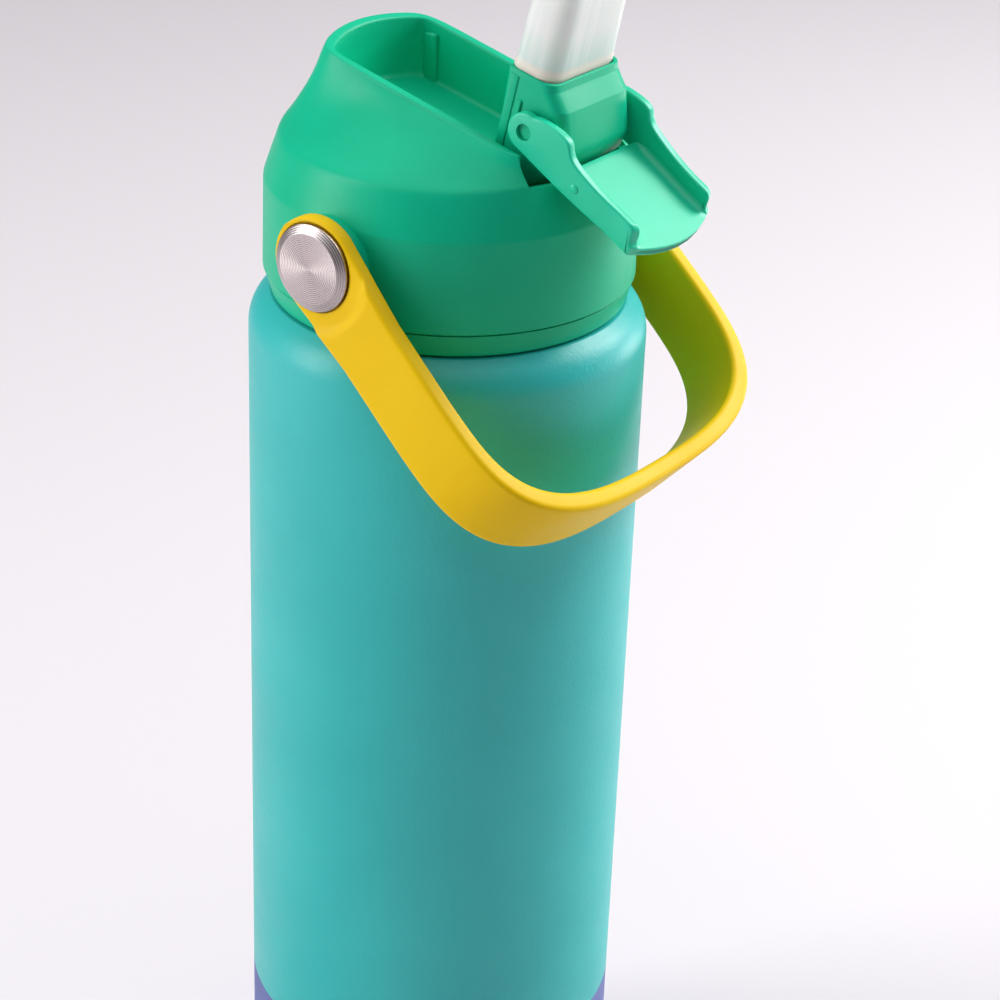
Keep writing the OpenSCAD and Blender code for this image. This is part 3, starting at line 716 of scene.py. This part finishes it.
# painted shade: darker blue-green low on the tip, whiter towards its end
tip_shade_by_depth = tip_tree.nodes.new("ShaderNodeMapRange")
tip_shade_by_depth.inputs["From Min"].default_value = 0.0205
tip_shade_by_depth.inputs["From Max"].default_value = 0.0275
tip_shade_by_depth.inputs["To Min"].default_value = -0.25
tip_shade_by_depth.inputs["To Max"].default_value = 0.4
tip_tree.links.new(tip_split.outputs["Z"], tip_shade_by_depth.inputs["Value"])
tip_share = tip_tree.nodes.new("ShaderNodeMath")
tip_share.use_clamp = True
tip_tree.links.new(tip_streaks.outputs["Fac"], tip_share.inputs[0])
tip_tree.links.new(tip_shade_by_depth.outputs["Result"], tip_share.inputs[1])
tip_tree.links.new(tip_share.outputs["Value"], tip_milk_and_shade.inputs["Factor"])
tip_foot = tip_tree.nodes.new("ShaderNodeMapRange")
tip_foot.inputs["From Min"].default_value = 0.0202
tip_foot.inputs["From Max"].default_value = 0.0214
tip_foot.inputs["To Min"].default_value = 1
tip_foot.inputs["To Max"].default_value = 0
tip_tree.links.new(tip_split.outputs["Z"], tip_foot.inputs["Value"])
tip_colour = tip_tree.nodes.new("ShaderNodeMix")
tip_colour.data_type = "RGBA"
tip_colour.inputs["B"].default_value = paint(250, 240, 226)
tip_tree.links.new(tip_foot.outputs["Result"], tip_colour.inputs["Factor"])
tip_tree.links.new(tip_milk_and_shade.outputs["Result"], tip_colour.inputs["A"])
tip_tree.links.new(tip_colour.outputs["Result"], tip_shader.inputs["Base Color"])
tip_rough = tip_tree.nodes.new("ShaderNodeMapRange")
tip_rough.inputs["To Min"].default_value = 0.28
tip_rough.inputs["To Max"].default_value = 0.46
tip_tree.links.new(tip_streaks.outputs["Fac"], tip_rough.inputs["Value"])
tip_tree.links.new(tip_rough.outputs["Result"], tip_shader.inputs["Roughness"])
tip_relief = tip_tree.nodes.new("ShaderNodeBump")
tip_relief.inputs["Strength"].default_value = 0.35
tip_relief.inputs["Distance"].default_value = 0.00006
tip_tree.links.new(tip_streaks.outputs["Fac"], tip_relief.inputs["Height"])
tip_tree.links.new(tip_relief.outputs["Normal"], tip_shader.inputs["Normal"])

tip_bend = 1.4
tip_bm = bmesh.new()
tip_rings = []
for grow, u in ((0, 17.5), (0, 18.95), (0.35, 19.05), (0.5, 19.3), (0.5, 20.0), (0.42, 20.35), (0.35, 20.5)):
    tip_rings.append(spout_ring(u, 9.65 + grow, -3.65 - grow, 4.65 + 0.4 * grow, 2.0, 3.4))
for k in range(1, 13):
    share = k / 12
    half, low, high = 10 - 0.3 * share, -4 + 0.2 * share, 4.79 - 0.24 * share
    tip_rings.append(spout_ring(20.5 + 13.9 * share, half, low, high, 2.2, 3.4))
for k in range(1, 6):
    bend = k * pi / 10
    inset = tip_bend * (1 - cos(bend))
    tip_rings.append(spout_ring(34.4 + tip_bend * sin(bend), 9.7 - inset, -3.8 + inset, 4.55 - inset,
                                2.0, 2.8))
for half, deep, u in ((5.4, 1.5, 35.8), (5.05, 1.15, 35.65), (5, 1.1, 32.8)):
    tip_rings.append(spout_ring(u, half, 0.4 - deep, 0.4 + deep, 0.9, 0.9))
raise_rings(tip_bm, tip_rings)
bmesh.ops.transform(tip_bm, matrix=spout_axes, verts=tip_bm.verts)
finished("drinking_tip", tip_bm, "spout", "clear_silicone", tip_silicone, "mouthpiece")

# ---- Cover ------------------------------------------------------------------
# The flip cover shuts over the mouthpiece: a thin floor between two rails that end in hinge ears.
# Two moulded pins of the same mint plastic hold the ears to the carrier.

# The cover wears a lighter copy of the lid's mint plastic: painted light, standing in for the bright light
# on its upturned floor.
lid_plastic_painted_lit = grained_material("lid_plastic_painted_lit", paint(20, 205, 162), paint(12, 197, 154), 60, 2400, 0.35,
                                 0.33, 0.44)
dress(lid_plastic, "cover_pin_left", "cover_pin_right")

cover_axes = spout_axes @ Matrix.Translation((0, -3.3, 10.3)) @ Matrix.Rotation(radians(107.8), 4, "X")
cover_len = 29.9
floor_over = 1.7
floor_under = 3.38
floor_fillet = 1.3
tip_r = 25.8


def bent_to_tip(bm):
    """Narrows the cover towards its tip and bends its end to the round plan."""
    for vert in bm.verts:
        x, y, a = vert.co
        narrow = 0.75 * max(0, min(1, (a - 11) / 12))
        x *= (12.75 - narrow) / 12.75
        share = max(0, min(1, (a - 14) / (cover_len - 14)))
        share = share * share * (3 - 2 * share)
        vert.co = (x, y, a - (tip_r - sqrt(tip_r ** 2 - x * x)) * share)


def cut_with(bm, cutter):
    """Takes the cutter's solid out of a mesh."""
    pair = []
    for source in (bm, cutter):
        mesh = bpy.data.meshes.new("blank")
        source.to_mesh(mesh)
        source.free()
        pair.append(bpy.data.objects.new("blank", mesh))
        scene.collection.objects.link(pair[-1])
    step = pair[0].modifiers.new("cut", "BOOLEAN")
    step.object = pair[1]
    step.solver = "EXACT"
    result = bmesh.new()
    result.from_object(pair[0], bpy.context.evaluated_depsgraph_get())
    for blank in pair:
        mesh = blank.data
        bpy.data.objects.remove(blank)
        bpy.data.meshes.remove(mesh)
    return result


rail_line = [(3.4 * cos(a), 3.4 * sin(a)) for a in (-pi * k / 16 for k in range(17))]
rail_line += flowing([(-3.4, 0), (-4.2, 1.4), (-5.0, 4.6), (-5.15, 7.0), (-4.7, 8.2), (-3.5, 9.3),
                      (-2.7, 11), (-2.0, 15.5), (-1.75, 20), (-1.75, 27.3)], 4)[1:]
rail_line += flowing([(-1.75, 27.3), (-1.3, 28.2), (-0.3, 28.7), (0.7, 28.95), (1.3, 29.3), (1.7, 29.85),
                      (3.2, 29.85), (3.38, 29.6)], 4)[1:]
rails_bm = bmesh.new()
rail_face = rails_bm.faces.new([rails_bm.verts.new((10.95, -f, a)) for f, a in rail_line])
drawn = bmesh.ops.extrude_face_region(rails_bm, geom=[rail_face])["geom"]
bmesh.ops.translate(rails_bm, vec=(1.8, 0, 0), verts=corners_in(drawn))
round_off(rails_bm, end_rims(rails_bm.edges), 0.4, 4)
twin = bmesh.ops.duplicate(rails_bm, geom=rails_bm.verts[:] + rails_bm.edges[:] + rails_bm.faces[:])["geom"]
bmesh.ops.scale(rails_bm, vec=(-1, 1, 1), verts=corners_in(twin))
bmesh.ops.recalc_face_normals(rails_bm, faces=rails_bm.faces)
for along in range(9, 28, 2):
    bmesh.ops.bisect_plane(rails_bm, geom=rails_bm.verts[:] + rails_bm.edges[:] + rails_bm.faces[:],
                           plane_co=(0, 0, along), plane_no=(0, 0, 1))
bent_to_tip(rails_bm)
pin_hole = bmesh.new()
bmesh.ops.create_cone(pin_hole, cap_ends=True, segments=48, radius1=1.5, radius2=1.5, depth=40, matrix=lying)
cover_bm = cut_with(rails_bm, pin_hole)

floor_rings = []
floor_start = [9.05, 9.15, 9.4]
floor_end = [28.5, 29.0, 29.4, 29.7, 29.85, 29.9]
for a in floor_start + [9.4 + 18.6 * k / 24 for k in range(1, 25)] + floor_end:
    lift = floor_fillet * max(0.04, min(1, (29.6 - a) / 1.6, (a - 9) / 2.5))
    thin = 0.35 if a in (9.05, 29.9) else (0.1 if a in (9.15, 29.85) else 0)
    under = floor_under - thin
    over = floor_over + thin
    half = [(12.45, under), (12.55, under - 0.28), (12.55, over - lift), (11.0, over - lift)]
    for k in range(1, 7):
        bend = k * pi / 12
        half.append((11.0 - 1.6 * (1 - cos(bend)), over - lift + lift * sin(bend)))
    half += [(x, over) for x in (7, 4.5, 2)]
    base = [(x, under) for x in (-11, -7, -3.5, 0, 3.5, 7, 11)]
    outline = half + [(0, over)] + [(-x, f) for x, f in reversed(half)] + base
    floor_rings.append([(x, -f, a) for x, f in outline])
floor_bm = bmesh.new()
raise_rings(floor_bm, floor_rings)
bent_to_tip(floor_bm)
for side in (-1, 1):
    # small nub on the rail's outer face
    nub = bmesh.ops.create_uvsphere(floor_bm, u_segments=20, v_segments=12, radius=0.75)["verts"]
    bmesh.ops.scale(floor_bm, vec=(0.45, 1, 1.2), verts=nub)
    bmesh.ops.translate(floor_bm, vec=(side * 12.62, -0.8, 13), verts=nub)
floor_mesh = bpy.data.meshes.new("floor_blank")
floor_bm.to_mesh(floor_mesh)
floor_bm.free()
cover_bm.from_mesh(floor_mesh)
bpy.data.meshes.remove(floor_mesh)
bmesh.ops.transform(cover_bm, matrix=cover_axes, verts=cover_bm.verts)
finished("flip_cover", cover_bm, "cover", "lid_plastic", lid_plastic_painted_lit, "spout_cover")

# ---- Handle pivots ----------------------------------------------------------
# Each side has a brass insert moulded into the boss, a rubber washer, a shoulder screw in a soft bush,
# and a spun steel cap with a polished bevel that snaps over the screw's head.

insert_brass = grained_material("insert_brass", paint(196, 160, 88), paint(182, 146, 78), 200, 2600, 0.3,
                                0.25, 0.4)
set_shader(insert_brass, "Metallic", 1)
dress(insert_brass, "pivot_insert_left", "pivot_insert_right")
dress(seal_rubber, "pivot_washer_left", "pivot_washer_right", "bush_left", "bush_right")
dress(pin_steel, "pivot_screw_left", "pivot_screw_right")

cap_steel, cap_rings = turned_material("cap_steel", paint(168, 156, 156), paint(206, 196, 195),
                                       0.22, 0.36, 0.25)
cap_tree = cap_steel.node_tree
cap_shader = cap_tree.nodes["Principled BSDF"]
cap_shader.inputs["Anisotropic"].default_value = 0.75
cap_rings.wave_type = "RINGS"
cap_rings.rings_direction = "X"
cap_rings.inputs["Distortion"].default_value = 0.6
cap_rings.inputs["Detail"].default_value = 3
cap_place = cap_tree.nodes.new("ShaderNodeTexCoord")
cap_centre = cap_tree.nodes.new("ShaderNodeMapping")
cap_centre.inputs["Location"].default_value = (0, 0, -0.210)
cap_tree.links.new(cap_place.outputs["Object"], cap_centre.inputs["Vector"])
cap_tree.links.new(cap_centre.outputs["Vector"], cap_rings.inputs["Vector"])
cap_tangent = cap_tree.nodes.new("ShaderNodeTangent")
cap_tangent.direction_type = "RADIAL"
cap_tangent.axis = "X"
cap_tree.links.new(cap_tangent.outputs["Tangent"], cap_shader.inputs["Tangent"])

for side, name in ((-1, "left"), (1, "right")):
    cap_bm = bmesh.new()
    turn_on_lathe(cap_bm, eased([
        (0, 0.7, 0), (6.6, 0.7, 0), (6.6, 0.15, 0.1), (7.8, 0.15, 0.1), (7.8, 0.92, 0.12),
        (6.35, 1.75, 0.12), (0, 1.75, 0)]), 128, closed=False)
    cap_seat = Matrix.Translation((side * 37.8, 0, pivot_z)) @ Matrix.Rotation(side * pi / 2, 4, "Y")
    bmesh.ops.transform(cap_bm, matrix=cap_seat, verts=cap_bm.verts)
    finished("pivot_button_" + name, cap_bm, "handle", "cap_steel", cap_steel, "pivot_cap_" + name,
             sharp=20)

# ---- Handle -----------------------------------------------------------------
# One bow of firm yellow elastomer, moulded as a flat strap with rounded edges.
# Its two eyes turn on the pivots, and each eye is sunk to take the steel cap.

strap_rubber = grained_material("strap_rubber", paint(236, 196, 0), paint(232, 189, 0), 40, 2300, 0.35,
                                0.4, 0.54)
set_shader(strap_rubber, "Specular IOR Level", 0.16)

eye_r = 8.9
eye_sink = 0.65
strap_half = 7.3
strap_t = 3.4
arm_len = 32.8
bow_reach = 62.1
bow_half = 39.6
arm_stations = []
for k in range(13):
    d = -eye_r * cos(pi / 2 * k / 12)
    arm_stations.append((d, max(0.35, sqrt(max(0, eye_r ** 2 - d * d)))))
for k in range(1, 35):
    share = k / 34
    arm_stations.append((17 * share, eye_r - (eye_r - strap_half) * share))
arm_stations += [(17 + 15.8 * k / 8, strap_half) for k in range(1, 8)]


def strap_ring(outer, inner, half, sunk=False):
    """One cross-section of the strap, between its outer and inner faces, sunk round the eye."""
    corner = min(0.95, half * 0.9)
    ring = []
    for z, s in soft_box_ring(half, 0, strap_t, corner, corner, steps=5):
        x, reach = (i + (o - i) * s / strap_t for o, i in zip(outer, inner))
        if sunk:
            rise = max(0, min(1, (sqrt(reach * reach + z * z) - 10.6) / 1.5))
            x -= (eye_sink if x > 0 else -eye_sink) * (1 - rise * rise * (3 - 2 * rise)) * s / strap_t
        ring.append((x, -reach, z))
    return ring


def bow_point(turn, inset):
    """A point of the bow's squared-off arch, drawn in by the inset."""
    x = (bow_half - inset) * (1 if cos(turn) > 0 else -1) * abs(cos(turn)) ** (2 / 2.88)
    return x, arm_len + (bow_reach - inset - arm_len) * sin(turn) ** (2 / 3.4)


def arm_ring(side, d, half):
    """A cross-section of one arm, which leans out a little towards the bow."""
    outer = bow_half - 0.9 + 0.9 * max(0, d) / arm_len
    return strap_ring((side * outer, d), (side * (outer - strap_t), d), half, sunk=True)


strap_rings = [arm_ring(1, d, half) for d, half in arm_stations]
for k in range(121):
    # stations crowd towards the corners, where the bow turns quickest
    t = k / 120
    turn = pi * (t - 0.045 * sin(4 * pi * t))
    turn = min(max(turn, 0), pi)
    strap_rings.append(strap_ring(bow_point(turn, 0), bow_point(turn, strap_t), strap_half))
strap_rings += [arm_ring(-1, d, half) for d, half in reversed(arm_stations)]
strap_bm = bmesh.new()
raise_rings(strap_bm, strap_rings)
bmesh.ops.recalc_face_normals(strap_bm, faces=strap_bm.faces)
sink_bm = bmesh.new()
for side in (-1, 1):
    bmesh.ops.create_cone(sink_bm, cap_ends=True, segments=96, radius1=8.1, radius2=8.1, depth=6,
                          matrix=Matrix.Translation((side * 40.6, 0, 0)) @ lying)
strap_bm = cut_with(strap_bm, sink_bm)
eye_bm = bmesh.new()
bmesh.ops.create_cone(eye_bm, cap_ends=True, segments=64, radius1=4.2, radius2=4.2, depth=100, matrix=lying)
strap_bm = cut_with(strap_bm, eye_bm)
strap_hang = Matrix.Translation((0, 0, pivot_z)) @ Matrix.Rotation(radians(42.8), 4, "X")
bmesh.ops.transform(strap_bm, matrix=strap_hang, verts=strap_bm.verts)
finished("carry_handle", strap_bm, "handle", "strap_rubber", strap_rubber, "handle")
